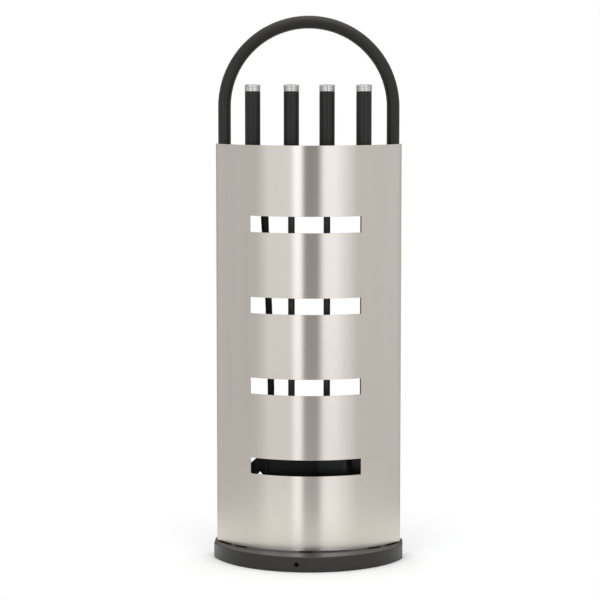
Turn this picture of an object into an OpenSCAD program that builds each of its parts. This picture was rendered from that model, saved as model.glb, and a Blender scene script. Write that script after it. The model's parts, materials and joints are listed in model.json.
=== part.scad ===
// Fireside companion set: a hoop-handled stand with a curved slotted front
// panel, and four lift-out tools (tongs, shovel, brush and poker).
// Millimetres, +Z up, front towards -Y, origin on the floor at the middle of
// the bounding box.

/* [Stand] */
// Overall height to the top of the hoop
total_h = 651; // [620:1:680]
// Half width of the base
base_half_w = 113.8; // [112:0.1:120]
// Depth of the base from back edge to the front of its arc
base_depth = 115; // [110:1:125]
// Sagitta of the base's front arc
base_sag = 81.4; // [70:0.1:90]
// Height of the base's top face
base_top_z = 18.5; // [16:0.5:24]
// Thickness of the base's pressed skirt
base_wall = 2.2; // [1.5:0.1:3]
// Bevel round the base's top edge
base_bevel = 0.8; // [0.5:0.1:4]

/* [Hoop] */
// Outer radius of the hoop's tube
tube_r = 7.6; // [6:0.1:8]
// Wall of the hoop's tube
tube_wall = 1.5; // [1:0.1:2.5]
// Distance of each leg from the middle
leg_x = 100.4; // [99:0.1:102]

/* [Front panel] */
// Half width of the panel across its two edges
panel_half_w = 110.9; // [110:0.1:112]
// How far the panel bulges forward of its edges
panel_sag = 65; // [60:0.5:68]
// Sheet thickness
sheet_t = 1; // [0.8:0.1:1.5]
// Height of the panel's top edge
panel_top_z = 499.5; // [480:0.5:520]
// Length of each slot, measured straight across
slot_w = 131.4; // [100:0.2:140]
// Sideways offset of the slots from the middle
slot_shift = -1.7; // [-3:0.1:3]
// Height of each slot
slot_h = 19.2; // [12:0.2:24]
// Middle height of the lowest slot
slot_z0 = 118.8; // [110:0.2:130]
// Height from one slot to the next
slot_pitch = 96; // [90:0.5:100]

/* [Tools] */
// Sideways place of the tongs, the shovel, the brush and the poker
tool_x = [-65.5, -19.7, 22.5, 66];
// Radius of each tool's rod
rod_r = 4; // [3:0.1:5]
// Radius of each grip
grip_r = 9.1; // [8:0.1:9.5]
// Height of the grips' lower ends
grip_z0 = 458; // [450:1:470]
// Height of the caps' tops
cap_z1 = 570; // [560:1:580]
// Height of each cap
cap_h = 8; // [6:0.5:10]

/* [Hidden] */
$fn = 96;
e = 0.5;                       // overrun that keeps cuts clean

steel = [0.74, 0.72, 0.68];
black = [0.16, 0.16, 0.17];
iron = [0.28, 0.28, 0.29];
zinc = [0.66, 0.67, 0.68];
rubber = [0.07, 0.07, 0.07];
nylon = [0.05, 0.05, 0.05];

// The bounding box runs from the base's front to its back, so the plane of
// the hoop lies behind the origin.
front_y = -base_depth / 2;
back_y = base_depth / 2;
hoop_y = back_y - 22;
skirt_z0 = 0.8;                // the skirt hangs clear of the floor

// Base arc: radius and centre from its chord and sagitta
base_r = (base_half_w * base_half_w + base_sag * base_sag) / (2 * base_sag);
base_cy = front_y + base_r;
base_corner_r = 8;
base_top_t = 2.5;
ballast_gap = 0.4;
ballast_z0 = 4.5;
ballast_z1 = base_top_z - base_top_t;

// Panel arc: outer radius, centre and half angle
panel_r = (panel_half_w * panel_half_w + panel_sag * panel_sag) / (2 * panel_sag);
panel_cy = hoop_y - panel_sag + panel_r;
panel_in_r = panel_r - sheet_t;
panel_z0 = base_top_z + 1.2;       // the panel's foot stands just clear of the base
panel_half_a = asin(panel_half_w / panel_r);
slot_count = 4;
panel_flats = 96;

// Hoop
hoop_cz = total_h - tube_r - leg_x;
tube_in_r = tube_r - tube_wall;
bolt_r = 3;
plug_h = 24;
washer_r = 7.5;
washer_t = 1.2;
bolt_seat_z = 8;

// Clips that tie the panel to the legs
clip_h = 12;
clip_z = [60, 478];
clip_wall = 2;
clip_screw_r = 1.5;
behind_r = panel_in_r - 0.02;      // what bears on the inside of the panel

// Tabs that hold the foot of the panel to the base
tab_angles = [-40, 0, 40];
tab_t = 1.4;
tab_h = 14;
tab_reach = 13;
tab_screw_r = 1.7;
tab_screw_len = 10;

// Feet, one under each corner of the ballast
foot_r = 9;
foot_xy = [[-62, -22], [62, -22], [-78, 42], [78, 42]];
foot_screw_r = 1.7;

// Screw in the front skirt, a little left of the middle
skirt_screw_x = -10.8;
skirt_screw_z = 9.4;
skirt_screw_r = 2.9;

// Rail: a flat bar bent into a shallow U between the legs
rail_t = 3;
rail_h = 16;
rail_z0 = 438;
rail_y0 = hoop_y - 14.8;
rail_x = leg_x - tube_r;
rail_back_y = hoop_y + 5;
rail_screw_r = 2;

// Tools
tool_y = hoop_y - 21;
collar_r = 5.5;
collar_h = 16;
collar_z0 = grip_z0 - collar_h;
rod_z1 = cap_z1 - 4;
hook_w = 9;
hook_t = 2.5;
knee = 0.08;                    // swell of the ball where two bars meet
hook_gap = 0.3;                // clearance between a hook and the rail

// Tongs: each leg's route as sideways offset and height, with its radii
yoke_y0 = tool_y - 5.2;
yoke_y1 = tool_y + 5.2;
cheek_t = 2;
pivot_dx = 8;
pivot_z = 433;
tongs_rod_z0 = pivot_z + 7.5;
pin_r = 2;
eye_r = 5.2;
eye_t = 5.6;
leg_route = [[13.9, 417], [15, 392], [18.8, 306], [21.3, 208], [20.5, 144]];
leg_radii = [4.7, 4.3, 4, 4, 4];
leg_foot_r = leg_radii[4];
jaw_t = 2.5;
jaw_top_z = 168;
jaw_neck_z = 136;
jaw_half_tang = 3.5;
jaw_shoulder_z = 117.2;
jaw_root_z = 107.8;
jaw_tip_z = 100.4;
tooth_pitch = 12.2;
tooth_count = 2;
jaw_inner_dx = [3.1, -3.9];     // left and right jaw, which pass each other when squeezed
jaw_outer_dx = 27.5;
rivet_r = 1.5;
rivet_z = [150, 160];

// Shovel
pan_half_w = 29.8;
pan_x = tool_x[1];
pan_z0 = 58;
pan_z1 = 170;
pan_depth = 12.5;
pan_wall = 1.2;
pan_corner_r = 14;
pan_back_y = hoop_y - 38.5;
pan_lip = 4;
shovel_bend_z = 204;
strap_z0 = 126;
strap_z1 = 180;
strap_half_w = 6.5;
strap_t = 3;
strap_rivet_z = [138, 158];

// Brush
block_half_w = 29.3;
block_r = 10.5;
block_y = hoop_y - 26.3;
block_z0 = 98;
rim_z1 = 110;
rim_half_w = 31.3;
rim_r = 9.2;
rim_y = hoop_y - 28.3;
block_z1 = 168;
neck_h = 14;
bristle_z0 = 28;
bristle_y0 = hoop_y - 37.4;
bristle_y1 = hoop_y - 19.2;
bristle_half_w = 31.2;
brush_rod_z0 = 118;

// Poker
blade_t = 2.5;
blade_y1 = hoop_y - 15.8;
blade_half_w = 16;
blade_top_z = 172;
blade_tip_z = 52;
poker_rod_z0 = 146;

// ---- shared shapes ----

// Upright cylinder from one height to another
module post(x, y, z0, z1, r) {
    translate([x, y, z0]) cylinder(h = z1 - z0, r = r);
}

// Cylinder along +Y
module post_y(x, y0, y1, z, r) {
    translate([x, y0, z]) rotate([-90, 0, 0]) cylinder(h = y1 - y0, r = r);
}

// Cylinder along +X
module post_x(x0, x1, y, z, r) {
    translate([x0, y, z]) rotate([0, 90, 0]) cylinder(h = x1 - x0, r = r);
}

// Box from its two corners
module span(lo, hi) {
    translate(lo) cube(hi - lo);
}

// Pan head, its flat side at z = 0 and rounded above
module pan_head(r, h) {
    rotate_extrude() polygon([[0, 0], [r, 0], [r, h * 0.55], [r * 0.7, h], [0, h]]);
}

// Ring or disc sector about the panel's axis; angles run from straight ahead
module arc_band(r0, r1, a0, a1, z0, z1) {
    translate([0, panel_cy, z0]) rotate([0, 0, a0 - 90])
        rotate_extrude(angle = a1 - a0, $fn = 240) translate([r0, 0]) square([r1 - r0, z1 - z0]);
}

// Plan of the base, set in from its outside by a margin
module base_plan(inset) {
    half = base_half_w - inset;
    back = back_y - inset;
    r = base_corner_r - inset;
    intersection() {
        translate([0, base_cy]) circle(r = base_r - inset, $fn = 240);
        union() {
            translate([-half, front_y]) square([2 * half, back - r - front_y]);
            translate([-half + r, front_y]) square([2 * (half - r), back - front_y]);
            for (s = [-1, 1]) translate([s * (half - r), back - r]) circle(r = r);
        }
    }
}

// ---- stand ----

module base() {
    half = base_half_w;
    z1 = base_top_z;
    b = base_bevel;
    color(black) difference() {
        intersection() {
            translate([0, 0, skirt_z0]) linear_extrude(z1 - skirt_z0) base_plan(0);
            union() {
                post(0, base_cy, 0, z1 - b, base_r + e, $fn = 240);
                translate([0, base_cy, z1 - b]) cylinder(h = b, r1 = base_r, r2 = base_r - b, $fn = 240);
            }
            translate([0, back_y + e, 0]) rotate([90, 0, 0]) linear_extrude(base_depth + 2 * e)
                polygon([[-half - e, 0], [half + e, 0], [half + e, z1 - b], [half, z1 - b], [half - b, z1],
                         [b - half, z1], [-half, z1 - b], [-half - e, z1 - b]]);
        }
        translate([0, 0, -e]) linear_extrude(ballast_z1 + e) base_plan(base_wall);
        for (s = [-1, 1]) post(s * leg_x, hoop_y, 0, z1 + e, bolt_r);
        for (a = tab_angles) tab_screw_hole(a);
        post_y(skirt_screw_x, front_y - e, front_y + 8, skirt_screw_z, skirt_screw_r);
    }
}

module ballast() {
    color(iron) difference() {
        translate([0, 0, ballast_z0]) linear_extrude(ballast_z1 - ballast_z0)
            base_plan(base_wall + ballast_gap);
        for (s = [-1, 1]) {
            post(s * leg_x, hoop_y, 0, bolt_seat_z, washer_r + 0.5);
            post(s * leg_x, hoop_y, 0, base_top_z, bolt_r);
        }
        for (p = foot_xy) post(p[0], p[1], 0, 12, foot_screw_r);
        for (a = tab_angles) tab_screw_hole(a);
        post_y(skirt_screw_x, front_y - e, front_y + 14, skirt_screw_z, skirt_screw_r);
    }
}

module foot(i) {
    color(rubber) translate([foot_xy[i][0], foot_xy[i][1], 0]) difference() {
        rotate_extrude()
            polygon([[0, 0], [foot_r - 0.8, 0], [foot_r, 0.8], [foot_r, ballast_z0], [0, ballast_z0]]);
        translate([0, 0, -e]) cylinder(h = 2 + e, r = 3.8);
        cylinder(h = ballast_z0 + e, r = foot_screw_r);
    }
}

module foot_screws() {
    color(zinc) for (p = foot_xy) {
        translate([p[0], p[1], 2]) mirror([0, 0, 1]) pan_head(3.4, 1.5);
        post(p[0], p[1], 1.9, 11.5, foot_screw_r);
    }
}

module skirt_screw() {
    y0 = base_cy - sqrt(base_r * base_r - skirt_screw_x * skirt_screw_x) + 1.8;
    color(zinc) difference() {
        post_y(skirt_screw_x, y0, front_y + 13, skirt_screw_z, skirt_screw_r);
        post_y(skirt_screw_x, y0 - e, y0 + 2, skirt_screw_z, 1.2, $fn = 6);
    }
}

module hoop_solid(r) {
    translate([0, hoop_y, hoop_cz]) rotate([90, 0, 0])
        rotate_extrude(angle = 180, $fn = 192) translate([leg_x, 0]) circle(r = r);
    for (s = [-1, 1]) post(s * leg_x, hoop_y, base_top_z, hoop_cz, r);
}

module hoop() {
    color(black) difference() {
        hoop_solid(tube_r);
        hoop_solid(tube_in_r);
        for (s = [-1, 1], z = clip_z)
            post_y(s * leg_x, hoop_y, hoop_y + tube_r + e, z, clip_screw_r);
        post_x(-leg_x, leg_x, hoop_y, rail_z0 + rail_h / 2, rail_screw_r);
    }
}

module hoop_plug(s) {
    color(zinc) difference() {
        post(s * leg_x, hoop_y, base_top_z, base_top_z + plug_h, tube_in_r);
        post(s * leg_x, hoop_y, base_top_z - e, base_top_z + plug_h - 4, bolt_r);
    }
}

module hoop_bolts() {
    color(zinc) for (s = [-1, 1]) {
        post(s * leg_x, hoop_y, 2.8, bolt_seat_z - washer_t, 5.8, $fn = 6);
        post(s * leg_x, hoop_y, 6, base_top_z + plug_h - 6, bolt_r);
    }
}

module hoop_washers() {
    color(zinc) for (s = [-1, 1]) difference() {
        post(s * leg_x, hoop_y, bolt_seat_z - washer_t, bolt_seat_z, washer_r);
        post(s * leg_x, hoop_y, 0, base_top_z, bolt_r);
    }
}

// Curved sheet in narrow flats, pierced by the slots
module front_panel() {
    angles = [for (k = [0:panel_flats]) panel_half_a * (2 * k / panel_flats - 1)];
    outer = [for (a = angles) panel_r * [sin(a), -cos(a)]];
    inner = [for (a = angles) panel_in_r * [sin(-a), -cos(a)]];
    color(steel) difference() {
        translate([0, panel_cy, panel_z0]) linear_extrude(panel_top_z - panel_z0)
            polygon(concat(outer, inner));
        for (i = [0:slot_count - 1]) {
            z = slot_z0 + i * slot_pitch;
            span([slot_shift - slot_w / 2, hoop_y - panel_sag - e, z - slot_h / 2],
                 [slot_shift + slot_w / 2, hoop_y, z + slot_h / 2]);
        }
    }
}

// A ring on the leg and a strap against the panel's inside, welded together
module clip(s, z) {
    z0 = z - clip_h / 2;
    z1 = z + clip_h / 2;
    color(black) mirror([s < 0 ? 1 : 0, 0, 0]) difference() {
        intersection() {
            union() {
                post(leg_x, hoop_y, z0, z1, tube_r + clip_wall);
                arc_band(behind_r - 1.6, behind_r, 52, panel_half_a, z0, z1);
            }
            post(0, panel_cy, z0 - e, z1 + e, behind_r, $fn = 240);
        }
        post(leg_x, hoop_y, z0 - e, z1 + e, tube_r);
        post_y(leg_x, hoop_y, hoop_y + 20, z, clip_screw_r);
    }
}

module clip_screws() {
    y1 = hoop_y + tube_r + clip_wall;
    color(zinc) for (s = [-1, 1], z = clip_z) {
        post_y(s * leg_x, hoop_y + 3, y1 + 0.2, z, clip_screw_r);
        translate([s * leg_x, y1, z]) rotate([-90, 0, 0]) pan_head(3, 2);
    }
}

// Middle of a tab's screw, in plan
function tab_xy(a) = [(panel_in_r - 8) * sin(a), panel_cy - (panel_in_r - 8) * cos(a)];

module tab_screw_hole(a) {
    p = tab_xy(a);
    post(p[0], p[1], base_top_z - tab_screw_len, base_top_z + e, tab_screw_r);
}

module panel_tab(a) {
    half_a = 3.6;
    p = tab_xy(a);
    color(black) difference() {
        union() {
            arc_band(behind_r - tab_t, behind_r, a - half_a, a + half_a, base_top_z, base_top_z + tab_h);
            arc_band(behind_r - tab_reach, behind_r, a - half_a, a + half_a, base_top_z, base_top_z + tab_t);
        }
        post(p[0], p[1], base_top_z - e, base_top_z + tab_t + e, tab_screw_r);
    }
}

module tab_screws() {
    color(zinc) for (a = tab_angles) {
        p = tab_xy(a);
        post(p[0], p[1], base_top_z - tab_screw_len + 0.5, base_top_z + tab_t + 0.2, tab_screw_r);
        translate([p[0], p[1], base_top_z + tab_t]) pan_head(3.4, 2);
    }
}

module hook_rail() {
    r = 7;                      // bend radius at the two corners, outside
    color(black) difference() {
        translate([0, 0, rail_z0]) linear_extrude(rail_h) difference() {
            union() {
                translate([-rail_x, rail_y0 + r]) square([2 * rail_x, rail_back_y - rail_y0 - r]);
                translate([-rail_x + r, rail_y0]) square([2 * (rail_x - r), rail_back_y - rail_y0]);
                for (s = [-1, 1]) translate([s * (rail_x - r), rail_y0 + r]) circle(r = r);
            }
            translate([-rail_x + rail_t, rail_y0 + r]) square([2 * (rail_x - rail_t), 100]);
            translate([-rail_x + r, rail_y0 + rail_t]) square([2 * (rail_x - r), 100]);
            for (s = [-1, 1]) translate([s * (rail_x - r), rail_y0 + r]) circle(r = r - rail_t);
        }
        post_x(-leg_x, leg_x, hoop_y, rail_z0 + rail_h / 2, rail_screw_r);
    }
}

module rail_screws() {
    z = rail_z0 + rail_h / 2;
    color(zinc) for (s = [0, 1]) mirror([s, 0, 0]) {
        post_x(rail_x - rail_t - 0.2, leg_x - 4, hoop_y, z, rail_screw_r);
        translate([rail_x - rail_t, hoop_y, z]) rotate([0, -90, 0]) pan_head(3.6, 2.2);
    }
}

// ---- parts that every tool has ----

module grip(i) {
    z1 = cap_z1 - cap_h;
    color(black) translate([tool_x[i], tool_y, 0]) difference() {
        rotate_extrude() polygon([[0, grip_z0], [grip_r - 2, grip_z0], [grip_r - 0.6, grip_z0 + 0.9],
                                  [grip_r, grip_z0 + 3], [grip_r, z1 - 1], [grip_r - 0.4, z1], [0, z1]]);
        translate([0, 0, grip_z0 - e]) cylinder(h = z1 - grip_z0 + 2 * e, r = rod_r);
    }
}

module cap(i) {
    z0 = cap_z1 - cap_h;
    r = grip_r + 0.2;
    color(zinc) translate([tool_x[i], tool_y, 0]) difference() {
        rotate_extrude() polygon([[0, z0], [r - 0.3, z0], [r, z0 + 0.3], [r, z0 + 1.6], [r - 0.5, z0 + 1.9],
                                  [r - 0.5, z0 + 2.5], [r, z0 + 2.8], [r, z0 + 4.2], [r - 0.5, z0 + 4.5],
                                  [r - 0.5, z0 + 5.1], [r, z0 + 5.4], [r, cap_z1 - 1], [r - 1.2, cap_z1 - 0.2],
                                  [r - 3.5, cap_z1], [0, cap_z1]]);
        translate([0, 0, z0 - e]) cylinder(h = rod_z1 - z0 + e, r = rod_r);
    }
}

// Collar on the rod with a flat hook that drops over the rail
module hanger(i) {
    hook_z0 = rail_z0 + rail_h + hook_gap;
    tail_y0 = rail_y0 + rail_t + 0.5;
    color(black) difference() {
        union() {
            post(tool_x[i], tool_y, collar_z0, grip_z0, collar_r);
            translate([tool_x[i] - hook_w / 2, 0, 0]) {
                span([0, tool_y, hook_z0], [hook_w, tail_y0 + hook_t, hook_z0 + hook_t]);
                span([0, tail_y0, hook_z0 - 12], [hook_w, tail_y0 + hook_t, hook_z0 + hook_t]);
            }
        }
        post(tool_x[i], tool_y, collar_z0 - e, grip_z0 + e, rod_r);
    }
}

module straight_rod(i, z0) {
    post(tool_x[i], tool_y, z0, rod_z1, rod_r);
}

// ---- tongs ----

module tongs_rod() {
    color(black) straight_rod(0, tongs_rod_z0);
}

module tongs_yoke() {
    x = tool_x[0];
    z1 = collar_z0;
    color(black) difference() {
        union() {
            span([x - 9.5, yoke_y0, pivot_z + 6.2], [x + 9.5, yoke_y1, z1]);
            span([x - 14, yoke_y0, pivot_z - 7], [x + 14, yoke_y0 + cheek_t, pivot_z + 8]);
            span([x - 14, yoke_y1 - cheek_t, pivot_z - 7], [x + 14, yoke_y1, pivot_z + 8]);
        }
        post(x, tool_y, tongs_rod_z0, z1 + e, rod_r);
        for (s = [-1, 1]) post_y(x + s * pivot_dx, yoke_y0 - e, yoke_y1 + e, pivot_z, pin_r);
        post_y(x, yoke_y0 - e, yoke_y1 + e, pivot_z - 3, pin_r);
    }
}

module tongs_pins() {
    x = tool_x[0];
    color(zinc) {
        for (s = [-1, 1]) {
            post_y(x + s * pivot_dx, yoke_y0 - 0.2, yoke_y1, pivot_z, pin_r);
            translate([x + s * pivot_dx, yoke_y0, pivot_z]) rotate([90, 0, 0]) pan_head(3.2, 1.4);
        }
        post_y(x, yoke_y0, yoke_y1, pivot_z - 3, pin_r);
    }
}

// Coil of the spring that holds the legs apart, on its own pin
module tongs_spring() {
    x = tool_x[0];
    color(zinc) difference() {
        post_y(x, tool_y - 2.8, tool_y + 2.8, pivot_z - 3, pin_r + 0.7);
        post_y(x, tool_y - 4, tool_y + 4, pivot_z - 3, pin_r);
        for (k = [-1:1]) translate([x, tool_y + k * 1.4 + 0.15, pivot_z - 3]) rotate([90, 0, 0])
            rotate_extrude() translate([pin_r + 0.45, 0]) square([e, 0.3]);
    }
}

// Tapered bar between two points of the leg's plane
module taper(p, q, r0, r1) {
    d = q - p;
    translate([p[0], tool_y, p[1]]) rotate([0, atan2(d[0], d[1]), 0])
        cylinder(h = norm(d), r1 = r0, r2 = r1);
}

// Right leg as drawn, with its pivot eye; the left one is its mirror image
module leg_shape() {
    d = leg_route[0] - [pivot_dx, pivot_z];
    difference() {
        union() {
            post_y(pivot_dx, tool_y - eye_t / 2, tool_y + eye_t / 2, pivot_z, eye_r);
            translate([pivot_dx, tool_y, pivot_z]) rotate([0, atan2(d[0], d[1]), 0])
                translate([-3.6, -eye_t / 2, 0]) cube([7.2, eye_t, norm(d)]);
            for (k = [0:3]) taper(leg_route[k], leg_route[k + 1], leg_radii[k], leg_radii[k + 1]);
            for (k = [0:3]) translate([leg_route[k][0], tool_y, leg_route[k][1]])
                sphere(r = leg_radii[k] + knee);
        }
        post_y(pivot_dx, tool_y - 10, tool_y + 10, pivot_z, pin_r + 0.05);
    }
}

function leg_foot_x() = leg_route[4][0];

module jaw_cut(front) {
    y0 = front ? tool_y - 6 : tool_y + leg_foot_r - jaw_t;
    y1 = front ? tool_y - leg_foot_r + jaw_t : tool_y + 6;
    span([leg_foot_x() - 8, y0, 130], [leg_foot_x() + 8, y1, jaw_top_z]);
}

module leg(s, front) {
    color(black) translate([tool_x[0], 0, 0]) mirror([s < 0 ? 1 : 0, 0, 0]) difference() {
        leg_shape();
        jaw_cut(front);
        for (z = rivet_z) post_y(leg_foot_x(), tool_y - 10, tool_y + 10, z, rivet_r);
    }
}

// Serrated jaw plate: a tang on the leg, a sloped shoulder and a toothed edge
module jaw(s, front) {
    x = leg_foot_x();
    y0 = front ? tool_y - leg_foot_r : tool_y + leg_foot_r - jaw_t;
    inner_x = jaw_inner_dx[s > 0 ? 1 : 0];
    heel_x = inner_x + tooth_count * tooth_pitch;
    teeth = [for (k = [0:tooth_count - 1]) each
        [[inner_x + k * tooth_pitch, jaw_root_z], [inner_x + (k + 0.5) * tooth_pitch, jaw_tip_z]]];
    heel = heel_x < jaw_outer_dx - 0.1 ? [[heel_x, jaw_root_z]] : [];
    outline = concat(
        [[x + jaw_half_tang, jaw_top_z], [x - jaw_half_tang, jaw_top_z], [x - jaw_half_tang, jaw_neck_z],
         [inner_x, jaw_shoulder_z]],
        teeth,
        heel,
        [[jaw_outer_dx, jaw_root_z], [jaw_outer_dx, jaw_shoulder_z], [x + jaw_half_tang, jaw_neck_z - 8]]);
    color(black) translate([tool_x[0], 0, 0]) mirror([s < 0 ? 1 : 0, 0, 0]) difference() {
        translate([0, y0 + jaw_t, 0]) rotate([90, 0, 0]) linear_extrude(jaw_t) polygon(outline);
        for (z = rivet_z) post_y(x, tool_y - 10, tool_y + 10, z, rivet_r);
    }
}

module rivets(s, front) {
    r = leg_foot_r;
    color(zinc) translate([tool_x[0], 0, 0]) mirror([s < 0 ? 1 : 0, 0, 0]) for (z = rivet_z) {
        post_y(leg_foot_x(), tool_y - r, tool_y + r, z, rivet_r);
        translate([leg_foot_x(), front ? tool_y - r : tool_y + r, z]) rotate([front ? 90 : -90, 0, 0])
            pan_head(2.6, 1);
    }
}

// ---- shovel ----

module shovel_rod() {
    x = tool_x[1];
    top = [tool_y, shovel_bend_z];
    low = [pan_back_y + 4.3, strap_z1 - 4];
    d = low - top;
    color(black) difference() {
        union() {
            straight_rod(1, shovel_bend_z);
            translate([x, top[0], top[1]]) sphere(r = rod_r + knee);
            translate([x, top[0], top[1]]) rotate([-atan2(d[0], d[1]), 0, 0])
                cylinder(h = norm(d), r = rod_r);
            translate([x, low[0], low[1]]) sphere(r = rod_r + knee);
            span([x - strap_half_w, pan_back_y, strap_z0],
                 [x + strap_half_w, pan_back_y + strap_t, strap_z1]);
        }
        for (z = strap_rivet_z) post_y(x, pan_back_y - e, pan_back_y + strap_t + e, z, rivet_r);
    }
}

module pan_outline(inset) {
    half = pan_half_w - inset;
    r = pan_corner_r - inset;
    z1 = pan_z1 - inset;
    translate([-half, pan_z0 - (inset > 0 ? e : 0)])
        square([2 * half, z1 - r - pan_z0 + (inset > 0 ? e : 0)]);
    translate([-half + r, pan_z0]) square([2 * (half - r), z1 - pan_z0]);
    for (s = [-1, 1]) translate([s * (half - r), z1 - r]) circle(r = r);
}

module shovel_pan() {
    y1 = pan_back_y;
    y0 = y1 - pan_depth;
    slope = atan2(pan_depth - pan_lip, pan_z1 - pan_z0 - 20);
    color(black) difference() {
        translate([pan_x, y1, 0]) rotate([90, 0, 0]) linear_extrude(pan_depth) pan_outline(0);
        translate([pan_x, y1 - pan_wall, 0]) rotate([90, 0, 0])
            linear_extrude(pan_depth) pan_outline(pan_wall);
        translate([pan_x - 60, y1 - pan_lip, pan_z0 - 1]) rotate([slope, 0, 0])
            translate([0, -60, -20]) cube([120, 60, 140]);
        for (z = strap_rivet_z) post_y(pan_x, y0, y1 + e, z, rivet_r);
    }
}

module shovel_rivets() {
    y1 = pan_back_y + strap_t;
    y0 = pan_back_y - pan_wall;
    color(zinc) for (z = strap_rivet_z) {
        post_y(pan_x, y0 - 0.1, y1 + 0.1, z, rivet_r);
        translate([pan_x, y0, z]) rotate([90, 0, 0]) pan_head(3, 1.1);
        translate([pan_x, y1, z]) rotate([-90, 0, 0]) pan_head(2.8, 1);
    }
}

// ---- brush ----

module stadium(half_w, r) {
    translate([-half_w + r, -r]) square([2 * (half_w - r), 2 * r]);
    for (s = [-1, 1]) translate([s * (half_w - r), 0]) circle(r = r);
}

module brush_rod() {
    color(black) straight_rod(2, brush_rod_z0);
}

module brush_block() {
    x = tool_x[2];
    color(black) difference() {
        union() {
            translate([x, block_y, block_z0])
                linear_extrude(block_z1 - block_z0) stadium(block_half_w, block_r);
            translate([x, rim_y, block_z0]) linear_extrude(rim_z1 - block_z0) stadium(rim_half_w, rim_r);
            hull() {
                translate([x, block_y, block_z1 - 0.1]) linear_extrude(0.1)
                    stadium(block_half_w - 0.01, block_r - 0.01);
                translate([x, tool_y, block_z1 + neck_h]) cylinder(h = 0.5, r = 5.2, $fn = 32);
            }
        }
        post(x, tool_y, brush_rod_z0, block_z1 + neck_h + 2, rod_r);
    }
}

module brush_bristles() {
    translate([tool_x[2], (bristle_y0 + bristle_y1) / 2, bristle_z0]) color(nylon)
        linear_extrude(block_z0 - bristle_z0) stadium(bristle_half_w, (bristle_y1 - bristle_y0) / 2);
}

// ---- poker ----

module poker_rod() {
    color(black) difference() {
        union() {
            straight_rod(3, poker_rod_z0);
            translate([tool_x[3], tool_y, poker_rod_z0]) sphere(r = rod_r + knee);
        }
        span([tool_x[3] - 8, blade_y1 - blade_t, poker_rod_z0 - 8],
             [tool_x[3] + 8, blade_y1 + 4, blade_top_z]);
        for (z = [152, 164]) post_y(tool_x[3], tool_y - 10, tool_y + 10, z, rivet_r);
    }
}

module poker_blade() {
    w = blade_half_w;
    x = tool_x[3];
    color(black) difference() {
        translate([x, blade_y1, 0]) rotate([90, 0, 0]) linear_extrude(blade_t) difference() {
            polygon([[-3.4, blade_top_z], [-3.4, 160], [-w, 140], [-w, 92], [0, blade_tip_z], [w, 92],
                     [w, 112], [w + 6, 124], [w + 4, 127], [w, 123], [w, 140], [3.4, 160],
                     [3.4, blade_top_z]]);
            translate([w, 131]) circle(r = 4);
        }
        for (z = [152, 164]) post_y(x, tool_y - 10, tool_y + 10, z, rivet_r);
    }
}

module poker_rivets() {
    color(zinc) for (z = [152, 164]) {
        post_y(tool_x[3], tool_y - rod_r, blade_y1, z, rivet_r);
        translate([tool_x[3], tool_y - rod_r, z]) rotate([90, 0, 0]) pan_head(2.6, 1);
    }
}

base();
ballast();
foot(0);  // foot_fl
foot(1);  // foot_fr
foot(2);  // foot_bl
foot(3);  // foot_br
foot_screws();
skirt_screw();
hoop();
hoop_plug(-1);  // hoop_plug_l
hoop_plug(1);  // hoop_plug_r
hoop_bolts();
hoop_washers();
front_panel();
clip(-1, clip_z[1]);  // clip_ul
clip(1, clip_z[1]);  // clip_ur
clip(-1, clip_z[0]);  // clip_ll
clip(1, clip_z[0]);  // clip_lr
clip_screws();
panel_tab(tab_angles[0]);  // panel_tab_l
panel_tab(tab_angles[1]);  // panel_tab_c
panel_tab(tab_angles[2]);  // panel_tab_r
tab_screws();
hook_rail();
rail_screws();
grip(0);  // tongs_grip
cap(0);  // tongs_cap
hanger(0);  // tongs_hanger
tongs_rod();
tongs_yoke();
tongs_pins();
tongs_spring();
leg(-1, false);  // tongs_leg_l
leg(1, true);  // tongs_leg_r
jaw(-1, false);  // tongs_jaw_l
jaw(1, true);  // tongs_jaw_r
rivets(-1, false);  // tongs_rivets_l
rivets(1, true);  // tongs_rivets_r
grip(1);  // shovel_grip
cap(1);  // shovel_cap
hanger(1);  // shovel_hanger
shovel_rod();
shovel_pan();
shovel_rivets();
grip(2);  // brush_grip
cap(2);  // brush_cap
hanger(2);  // brush_hanger
brush_rod();
brush_block();
brush_bristles();
grip(3);  // poker_grip
cap(3);  // poker_cap
hanger(3);  // poker_hanger
poker_rod();
poker_blade();
poker_rivets();
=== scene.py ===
import json
import math
import random

import bpy
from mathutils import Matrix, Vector


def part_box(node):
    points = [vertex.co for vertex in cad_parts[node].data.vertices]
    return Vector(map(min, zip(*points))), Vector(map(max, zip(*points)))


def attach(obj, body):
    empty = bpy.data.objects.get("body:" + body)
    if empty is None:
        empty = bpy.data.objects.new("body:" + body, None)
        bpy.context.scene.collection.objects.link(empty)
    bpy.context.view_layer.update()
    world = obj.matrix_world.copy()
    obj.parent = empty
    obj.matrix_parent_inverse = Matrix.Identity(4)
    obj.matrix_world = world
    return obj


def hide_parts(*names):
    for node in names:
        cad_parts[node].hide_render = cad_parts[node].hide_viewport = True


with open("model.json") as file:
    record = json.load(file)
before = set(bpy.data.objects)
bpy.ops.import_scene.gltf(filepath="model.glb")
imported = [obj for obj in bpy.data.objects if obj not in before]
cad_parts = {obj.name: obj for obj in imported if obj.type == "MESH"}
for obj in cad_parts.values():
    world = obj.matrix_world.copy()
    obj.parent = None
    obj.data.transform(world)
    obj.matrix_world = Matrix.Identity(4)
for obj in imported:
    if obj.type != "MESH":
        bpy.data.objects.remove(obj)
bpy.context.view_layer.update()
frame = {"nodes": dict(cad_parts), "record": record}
nodes = frame["nodes"]

# ---------------------------------------------------------------- camera

CAMERA_PLACE = (0.0997, -2.6807, 0.5931)
CAMERA_PITCH = 5.90          # degrees below level
CAMERA_TURN = 2.32           # degrees, so that it looks a little to the left
CAMERA_LENS = 136.6          # mm
CAMERA_SENSOR = 36           # mm


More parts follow.
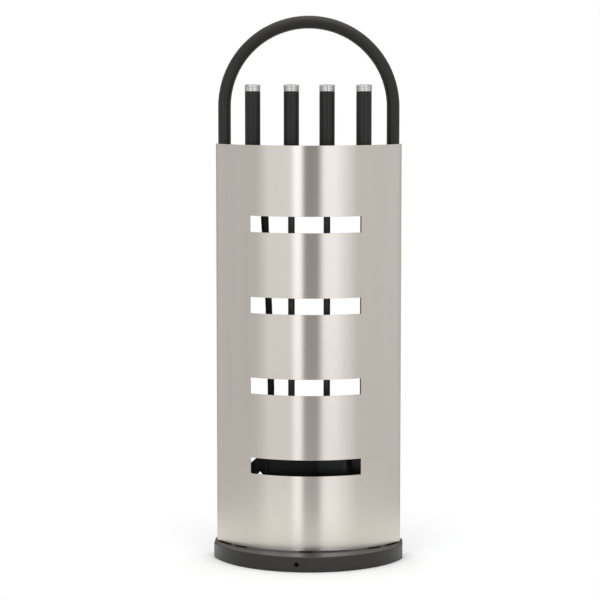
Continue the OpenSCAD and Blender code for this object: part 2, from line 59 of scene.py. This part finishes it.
def add_camera():
    data = bpy.data.cameras.new("camera")
    data.lens = CAMERA_LENS
    data.sensor_width = CAMERA_SENSOR
    camera = bpy.data.objects.new("camera", data)
    camera.location = CAMERA_PLACE
    camera.rotation_euler = (math.radians(90 - CAMERA_PITCH), 0, math.radians(CAMERA_TURN))
    bpy.context.scene.collection.objects.link(camera)
    bpy.context.scene.camera = camera


# ---------------------------------------------------------------- node helpers

class Tree:
    """Short names for adding and joining shader nodes."""

    def __init__(self, owner):
        owner.use_nodes = True
        self.tree = owner.node_tree
        self.tree.nodes.clear()

    def node(self, kind, **settings):
        made = self.tree.nodes.new(kind)
        for name, value in settings.items():
            setattr(made, name, value)
        return made

    def join(self, source, target):
        self.tree.links.new(source, target)

    def feed(self, value, target):
        if isinstance(value, (int, float)):
            target.default_value = value
        else:
            self.join(value, target)

    def math(self, operation, a, b=0.0):
        made = self.node("ShaderNodeMath", operation=operation)
        self.feed(a, made.inputs[0])
        self.feed(b, made.inputs[1])
        return made.outputs[0]

    def blend(self, a, b, share):
        """The given share of a, and the rest of b."""
        return self.math("ADD", self.math("MULTIPLY", a, share), self.math("MULTIPLY", b, 1 - share))

    def ramp(self, value, stops):
        made = self.node("ShaderNodeValToRGB")
        band = made.color_ramp
        while len(band.elements) < len(stops):
            band.elements.new(0.5)
        for element, (place, colour) in zip(band.elements, stops):
            element.position = place
            element.color = (*colour, 1)
        self.feed(value, made.inputs["Fac"])
        return made.outputs["Color"]

    def noise(self, vector, scale, detail=3.0, rough=0.5):
        made = self.node("ShaderNodeTexNoise")
        made.inputs["Scale"].default_value = scale
        made.inputs["Detail"].default_value = detail
        made.inputs["Roughness"].default_value = rough
        self.join(vector, made.inputs["Vector"])
        return made.outputs["Fac"]

    def stretched(self, vector, x, y, z):
        made = self.node("ShaderNodeMapping")
        made.inputs["Scale"].default_value = (x, y, z)
        self.join(vector, made.inputs["Vector"])
        return made.outputs["Vector"]

    def bump(self, height, strength, distance):
        made = self.node("ShaderNodeBump")
        made.inputs["Strength"].default_value = strength
        made.inputs["Distance"].default_value = distance
        self.join(height, made.inputs["Height"])
        return made.outputs["Normal"]


def grey(value):
    return (value, value, value)


def shade(colour, factor):
    return tuple(min(1.0, c * factor) for c in colour)


# Most of a noise's values lie between these two
NOISE_LOW, NOISE_HIGH = 0.3, 0.7
MOTTLING = 9.0               # patches of colour to the metre
GRAIN_DEPTH = 0.0003


def toned(tree, value, colour, low, high):
    """The colour, between its low and high shade as the value goes."""
    return tree.ramp(value, [(NOISE_LOW, shade(colour, low)), (NOISE_HIGH, shade(colour, high))])


def finish_of(name, colour, spread, roughness, rough_spread, grain, bump, metallic=0.0, specular=0.5,
              stretch=(1, 1, 1)):
    """A surface with mottled colour, uneven roughness and a fine raised grain."""
    material = bpy.data.materials.new(name)
    tree = Tree(material)
    place = tree.node("ShaderNodeTexCoord").outputs["Object"]
    mottle = tree.noise(tree.stretched(place, *stretch), MOTTLING, 4.0)
    fine = tree.noise(tree.stretched(place, *stretch), grain, 2.0)
    shader = tree.node("ShaderNodeBsdfPrincipled")
    shader.inputs["Metallic"].default_value = metallic
    shader.inputs["Specular IOR Level"].default_value = specular
    tree.join(toned(tree, mottle, colour, 1 - spread, 1 + spread), shader.inputs["Base Color"])
    rough = [(0.35, grey(roughness - rough_spread)), (0.65, grey(roughness + rough_spread))]
    tree.join(tree.ramp(fine, rough), shader.inputs["Roughness"])
    tree.join(tree.bump(fine, bump, GRAIN_DEPTH), shader.inputs["Normal"])
    tree.join(shader.outputs[0], tree.node("ShaderNodeOutputMaterial").inputs["Surface"])
    return material


# How finely each pattern runs round the curve, through the sheet and up it
HAIRS = (14, 1, 2600)
STREAKS = (60, 1, 3)
CLOUDS = (9, 1, 5)
MAIN_SHARE = 0.6             # of the finer pattern, wherever two are blended
PANEL_ROUGHNESS = (0.185, 0.215)
LINE_DEPTH = 0.0002          # of the brushed hairs and the turning rings


def brushed_panel(name, colour, axis_y, radius):
    """Steel brushed round the panel's curve, so that it scatters light up and down."""
    material = bpy.data.materials.new(name)
    tree = Tree(material)
    split = tree.node("ShaderNodeSeparateXYZ")
    tree.join(tree.node("ShaderNodeTexCoord").outputs["Object"], split.inputs[0])
    ahead = tree.math("SUBTRACT", axis_y, split.outputs["Y"])
    around = tree.math("MULTIPLY", tree.math("ARCTAN2", split.outputs["X"], ahead), radius)
    unrolled = tree.node("ShaderNodeCombineXYZ")
    tree.join(around, unrolled.inputs["X"])
    tree.join(split.outputs["Z"], unrolled.inputs["Z"])
    sheet = unrolled.outputs[0]
    hairs = tree.noise(tree.stretched(sheet, *HAIRS), 1.0, 4.0, 0.65)
    streaks = tree.noise(tree.stretched(sheet, *STREAKS), 1.0, 3.0)
    clouds = tree.noise(tree.stretched(sheet, *CLOUDS), 1.0, 3.0)
    shader = tree.node("ShaderNodeBsdfPrincipled")
    shader.inputs["Metallic"].default_value = 1.0
    shader.inputs["Anisotropic"].default_value = 0.9
    shader.inputs["Anisotropic Rotation"].default_value = 0.25
    tangent = tree.node("ShaderNodeTangent", direction_type="RADIAL", axis="Z")
    tree.join(tangent.outputs[0], shader.inputs["Tangent"])
    mix = tree.blend(hairs, streaks, MAIN_SHARE)
    tree.join(toned(tree, mix, colour, 0.955, 1.035), shader.inputs["Base Color"])
    smooth, rough = PANEL_ROUGHNESS
    uneven = tree.blend(mix, clouds, MAIN_SHARE)
    tree.join(tree.ramp(uneven, [(NOISE_LOW, grey(smooth)), (NOISE_HIGH, grey(rough))]),
              shader.inputs["Roughness"])
    tree.join(tree.bump(hairs, 0.03, LINE_DEPTH), shader.inputs["Normal"])
    tree.join(shader.outputs[0], tree.node("ShaderNodeOutputMaterial").inputs["Surface"])
    return material


RINGS = (2, 2, 4200)         # how finely the turning rings run across and up a part
SMUDGES = 60.0


def turned_steel(name, colour, roughness):
    """Bright steel with faint turning rings about each part's own height."""
    material = bpy.data.materials.new(name)
    tree = Tree(material)
    place = tree.node("ShaderNodeTexCoord").outputs["Object"]
    rings = tree.noise(tree.stretched(place, *RINGS), 1.0, 3.0)
    smudge = tree.noise(place, SMUDGES, 3.0)
    shader = tree.node("ShaderNodeBsdfPrincipled")
    shader.inputs["Metallic"].default_value = 1.0
    tree.join(toned(tree, smudge, colour, 0.92, 1.05), shader.inputs["Base Color"])
    rough = [(NOISE_LOW, grey(roughness - 0.05)), (NOISE_HIGH, grey(roughness + 0.06))]
    tree.join(tree.ramp(rings, rough), shader.inputs["Roughness"])
    tree.join(tree.bump(rings, 0.08, LINE_DEPTH), shader.inputs["Normal"])
    tree.join(shader.outputs[0], tree.node("ShaderNodeOutputMaterial").inputs["Surface"])
    return material


# ---------------------------------------------------------------- finishes

panel_low, panel_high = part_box("front_panel")
half_chord = (panel_high.x - panel_low.x) / 2
sagitta = panel_high.y - panel_low.y
panel_radius = (half_chord ** 2 + sagitta ** 2) / (2 * sagitta)
panel_axis_y = panel_low.y + panel_radius

FINISHES = {
    "panel_steel": brushed_panel("brushed_steel", (0.615, 0.573, 0.517), panel_axis_y, panel_radius),
    "ballast_iron": finish_of("cast_iron", (0.07, 0.07, 0.072), 0.35, 0.7, 0.1, 900, 0.5, metallic=0.3),
    "foot_rubber": finish_of("foot_rubber", (0.02, 0.02, 0.02), 0.3, 0.75, 0.08, 1500, 0.25),
    "fastener_zinc": finish_of("zinc", (0.50, 0.51, 0.52), 0.12, 0.35, 0.08, 1200, 0.15, metallic=1.0),
    "grip": finish_of("grip_plastic", (0.0085, 0.0078, 0.0068), 0.2, 0.36, 0.05, 1400, 0.12,
                      specular=0.34, stretch=(1, 1, 0.6)),
    "cap_steel": turned_steel("turned_steel", (0.64, 0.63, 0.605), 0.27),
    "bristle_nylon": finish_of("bristle_nylon", (0.018, 0.018, 0.018), 0.3, 0.45, 0.1, 600, 0.1),
    "block_plastic": finish_of("moulded_plastic", (0.005, 0.005, 0.0047), 0.2, 0.36, 0.04, 900, 0.03,
                               specular=0.3),
    "base_paint": finish_of("base_powder_coat", (0.0145, 0.0134, 0.0119), 0.15, 0.27, 0.05, 1600, 0.18,
                           specular=0.38),
    "frame_paint": finish_of("frame_powder_coat", (0.0145, 0.0136, 0.0118), 0.15, 0.38, 0.07, 1600, 0.2,
                            specular=0.3),
    "tool_paint": finish_of("tool_enamel", (0.0055, 0.0053, 0.0048), 0.25, 0.42, 0.08, 1100, 0.12,
                           specular=0.16),
}
# Rods and the flat poker blade: a copy of the tool enamel about three times lighter, painted light for
# the brighter light on them, with a dull shine
PAINTED_LIGHT_ENAMEL = finish_of("enamel_with_painted_light", (0.017, 0.0163, 0.0148), 0.3, 0.36, 0.1, 1100, 0.12, specular=0.4,
                   stretch=(1, 1, 0.15))
# The sunk skirt screw, painted near-black: painted shade for the inside of its recess
SCREW_RECESS_SHADE = finish_of("screw_painted_recess_shade", (0.002, 0.002, 0.002), 0.3, 0.6, 0.1, 900, 0.1, specular=0.1)
PAINTED_LIGHT_NODES = ("shovel_rod", "brush_rod", "poker_rod", "poker_blade")


def dress_cad_nodes():
    for part in frame["record"]["subparts"]:
        mesh = nodes[part["node"]].data
        mesh.materials.clear()
        finish = FINISHES[part["material_slot"]]
        # The rods and poker blade take the lighter enamel: painted light
        if part["node"] in PAINTED_LIGHT_NODES:
            finish = PAINTED_LIGHT_ENAMEL
        # The skirt screw takes the near-black of painted shade in its recess
        elif part["node"] == "skirt_screw":
            finish = SCREW_RECESS_SHADE
        mesh.materials.append(finish)


# ---------------------------------------------------------------- front panel

SLOT_COUNT = 4
SLOT_HALF_W = 0.0657
SLOT_SHIFT = -0.0017
SLOT_HALF_H = 0.0096
SLOT_LOWEST = 0.1188
SLOT_PITCH = 0.096
SHEET = 0.001
COLUMNS = 180
COLUMN_GAP = 0.004           # radians that a column keeps from a slot's end
DEBURR = 0.00018             # width of the bevel on the sheet's edges
DEBURR_DEGREES = 50          # edges sharper than this have it


def panel_columns():
    """Angles round the panel, with one exactly at each end of the slots."""
    edge = math.asin(half_chord / panel_radius)
    ends = [math.asin((SLOT_SHIFT + side * SLOT_HALF_W) / panel_radius) for side in (-1, 1)]
    angles = {-edge, *ends, edge}
    for k in range(COLUMNS + 1):
        angle = edge * (2 * k / COLUMNS - 1)
        if min(abs(angle - end) for end in ends) > COLUMN_GAP:
            angles.add(angle)
    return sorted(angles), ends


def apply_modifiers(piece):
    bpy.context.view_layer.update()
    graph = bpy.context.evaluated_depsgraph_get()
    mesh = bpy.data.meshes.new_from_object(piece.evaluated_get(graph))
    piece.modifiers.clear()
    piece.data = mesh


def smoothed(piece, sharp_degrees=35):
    """Applies the piece's modifiers and shades it smooth, its broad faces setting the normals."""
    apply_modifiers(piece)
    piece.data.shade_smooth()
    piece.data.set_sharp_from_angle(angle=math.radians(sharp_degrees))
    weighted = piece.modifiers.new("broad_faces", "WEIGHTED_NORMAL")
    weighted.keep_sharp = True
    apply_modifiers(piece)


def add_panel():
    angles, ends = panel_columns()
    rows = [panel_low.z, panel_high.z]
    middles = [SLOT_LOWEST + k * SLOT_PITCH for k in range(SLOT_COUNT)]
    for middle in middles:
        rows += [middle - SLOT_HALF_H, middle + SLOT_HALF_H]
    rows.sort()
    vertices = [(panel_radius * math.sin(a), panel_axis_y - panel_radius * math.cos(a), z)
                for z in rows for a in angles]
    width = len(angles)
    faces = []
    for row in range(len(rows) - 1):
        inside_row = any(abs((rows[row] + rows[row + 1]) / 2 - m) < SLOT_HALF_H for m in middles)
        for column in range(width - 1):
            inside_column = ends[0] < (angles[column] + angles[column + 1]) / 2 < ends[1]
            if inside_row and inside_column:
                continue
            corner = row * width + column
            faces.append((corner, corner + 1, corner + width + 1, corner + width))
    mesh = bpy.data.meshes.new("panel_sheet")
    mesh.from_pydata(vertices, [], faces)
    mesh.materials.append(FINISHES["panel_steel"])
    piece = bpy.data.objects.new("panel_sheet", mesh)
    bpy.context.scene.collection.objects.link(piece)
    solid = piece.modifiers.new("sheet", "SOLIDIFY")
    solid.thickness = SHEET
    solid.offset = -1
    edge = piece.modifiers.new("deburred_edge", "BEVEL")
    edge.width = DEBURR
    edge.segments = 2
    edge.limit_method = "ANGLE"
    edge.angle_limit = math.radians(DEBURR_DEGREES)
    smoothed(piece)
    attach(piece, "stand")
    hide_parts("front_panel")


# ---------------------------------------------------------------- bristles

FILAMENTS = 2600
FILAMENT_R = 0.00042
FILAMENT_RINGS = 5
FILAMENT_SIDES = 3
FILAMENT_TAPER = 0.45        # share of the radius lost at the tip
MARGIN = 0.0006              # that the tufts keep inside the block's outline
ROOT_REACH = 0.004           # of the roots, up into the block
UNEVEN_TIPS = 0.0035
# How close to its full place in the outline a filament starts and ends
ROOT_SPREAD = (0.86, 0.9)
TIP_SPREAD = (0.98, 0.97)
SPLAY = (0.03, 0.02)         # outward bow, as a share of the place
STRAY = 0.0004               # random bow


def filament(vertices, faces, root, tip, bow):
    """One tapering three-sided filament, bowed a little on its way down."""
    base = len(vertices)
    for ring in range(FILAMENT_RINGS):
        t = ring / (FILAMENT_RINGS - 1)
        centre = root.lerp(tip, t) + bow * math.sin(math.pi * t)
        radius = FILAMENT_R * (1 - FILAMENT_TAPER * t * t)
        for side in range(FILAMENT_SIDES):
            a = side * math.tau / FILAMENT_SIDES
            vertices.append(centre + Vector((math.cos(a) * radius, math.sin(a) * radius, 0)))
    for ring in range(FILAMENT_RINGS - 1):
        for side in range(FILAMENT_SIDES):
            a = base + ring * FILAMENT_SIDES + side
            b = base + ring * FILAMENT_SIDES + (side + 1) % FILAMENT_SIDES
            faces.append((a, b, b + FILAMENT_SIDES, a + FILAMENT_SIDES))
    last = base + (FILAMENT_RINGS - 1) * FILAMENT_SIDES
    faces.append(tuple(range(last, last + FILAMENT_SIDES)))


def in_stadium(x, y, half_w, r):
    over = max(0.0, abs(x) - (half_w - r))
    return math.hypot(over, y) <= r


def add_bristles():
    low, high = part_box("brush_bristles")
    middle = (low + high) / 2
    half_w = (high.x - low.x) / 2 - MARGIN
    half_d = (high.y - low.y) / 2 - MARGIN
    chance = random.Random(7)
    vertices, faces = [], []
    made = 0
    while made < FILAMENTS:
        x = chance.uniform(-half_w, half_w)
        y = chance.uniform(-half_d, half_d)
        if not in_stadium(x, y, half_w, half_d):
            continue
        root = Vector((middle.x + x * ROOT_SPREAD[0], middle.y + y * ROOT_SPREAD[1], high.z + ROOT_REACH))
        short = chance.uniform(0.0, UNEVEN_TIPS)
        tip = Vector((middle.x + x * TIP_SPREAD[0], middle.y + y * TIP_SPREAD[1], low.z + short))
        stray = Vector((chance.uniform(-1, 1), chance.uniform(-1, 1), 0)) * STRAY
        bow = Vector((x * SPLAY[0], y * SPLAY[1], 0)) + stray
        filament(vertices, faces, root, tip, bow)
        made += 1
    mesh = bpy.data.meshes.new("bristle_filaments")
    mesh.from_pydata(vertices, [], faces)
    mesh.update()
    mesh.materials.append(FINISHES["bristle_nylon"])
    piece = bpy.data.objects.new("bristle_filaments", mesh)
    bpy.context.scene.collection.objects.link(piece)
    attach(piece, "brush")
    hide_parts("brush_bristles")


# ---------------------------------------------------------------- studio

FLOOR_RADIUS = 0.35
BACKDROP = 1.0               # brightness of the backdrop that the camera sees

# The studio, as stretches round the object in degrees from the front, each with
# its brightness: a soft box either side of the gap that the camera stands in,
# a pale wall beyond each, and a dim room behind. They blend into each other.
STUDIO = [
    (-180, -140, 0.25),      # room
    (-120, -60, 0.74),       # left wall
    (-45, -20, 1.15),        # left soft box, its outer part
    (-14, -9, 2.0),          # left soft box, its lamp
    (-4, 10, 0.3),           # gap
    (17, 30, 1.65),          # right soft box
    (55, 115, 0.86),         # right wall
    (140, 180, 0.25),        # room
]
# Lower down the pale surroundings even this out, and higher up the ceiling
# does: the brightness, and the degrees above level between which it takes over.
SURROUND = (0.7, -5, -17)
CEILING = (1.0, 12, 35)
HEADROOM = 1.1               # keeps the brightest stretch below a colour ramp's limit
# Above this brightness a stretch turns cooler, by so much red and blue for each 1.0
COOL_ABOVE = 0.6
COOL_RED, COOL_BLUE = -0.02, 0.05
FLOOR_WHITE = 0.93
TOP_PLACE = (0.0, -0.4, 2.2)
TOP_SIZE = (1.8, 1.8)
TOP_WATTS = 14
AIM = (0, 0, 0.3)            # what the light faces, about the object's middle


def studio_tint(level):
    """The soft boxes are a little cooler than the room and walls."""
    cool = min(1.0, max(0.0, level - COOL_ABOVE))
    return (1.0 + COOL_RED * cool, 1.0, 1.0 + COOL_BLUE * cool)


def add_world():
    world = bpy.data.worlds.new("studio")
    bpy.context.scene.world = world
    tree = Tree(world)
    split = tree.node("ShaderNodeSeparateXYZ")
    tree.join(tree.node("ShaderNodeTexCoord").outputs["Generated"], split.inputs[0])
    turn = tree.math("ARCTAN2", split.outputs["X"], tree.math("MULTIPLY", split.outputs["Y"], -1.0))
    part_turn = tree.math("ADD", tree.math("DIVIDE", turn, math.tau), 0.5)
    top = HEADROOM * max(level for _, _, level in STUDIO)
    stops = [(0.5 + degrees / 360, shade(studio_tint(level), level / top))
             for first, last, level in STUDIO for degrees in (first, last)]
    colour = tree.ramp(part_turn, stops)
    for level, first, last in (SURROUND, CEILING):
        evened = tree.node("ShaderNodeMapRange", interpolation_type="SMOOTHSTEP")
        tree.join(split.outputs["Z"], evened.inputs["Value"])
        evened.inputs["From Min"].default_value = math.sin(math.radians(first))
        evened.inputs["From Max"].default_value = math.sin(math.radians(last))
        blend = tree.node("ShaderNodeMix", data_type="RGBA")
        tree.join(evened.outputs["Result"], blend.inputs["Factor"])
        tree.join(colour, blend.inputs["A"])
        blend.inputs["B"].default_value = (*grey(level / top), 1)
        colour = blend.outputs["Result"]
    studio = tree.node("ShaderNodeBackground")
    tree.join(colour, studio.inputs["Color"])
    studio.inputs["Strength"].default_value = top
    backdrop = tree.node("ShaderNodeBackground")
    backdrop.inputs["Color"].default_value = (1, 1, 1, 1)
    backdrop.inputs["Strength"].default_value = BACKDROP
    mix = tree.node("ShaderNodeMixShader")
    tree.join(tree.node("ShaderNodeLightPath").outputs["Is Camera Ray"], mix.inputs[0])
    tree.join(studio.outputs[0], mix.inputs[1])
    tree.join(backdrop.outputs[0], mix.inputs[2])
    tree.join(mix.outputs[0], tree.node("ShaderNodeOutputWorld").inputs["Surface"])


def add_floor():
    bpy.ops.mesh.primitive_circle_add(vertices=96, radius=FLOOR_RADIUS, fill_type="NGON")
    floor = bpy.context.object
    floor.name = "floor"
    material = finish_of("floor", grey(FLOOR_WHITE), 0.004, 0.9, 0.02, 40, 0.02)
    floor.data.materials.append(material)


def add_light(name, place, size, power):
    data = bpy.data.lights.new(name, "AREA")
    data.shape = "RECTANGLE"
    data.size, data.size_y = size
    data.energy = power
    light = bpy.data.objects.new(name, data)
    light.location = place
    light.rotation_euler = (Vector(AIM) - Vector(place)).to_track_quat("-Z", "Y").to_euler()
    bpy.context.scene.collection.objects.link(light)


bpy.context.scene.view_settings.view_transform = "Standard"
add_camera()
dress_cad_nodes()
add_panel()
add_bristles()
add_world()
add_floor()
add_light("top_softbox", TOP_PLACE, TOP_SIZE, TOP_WATTS)
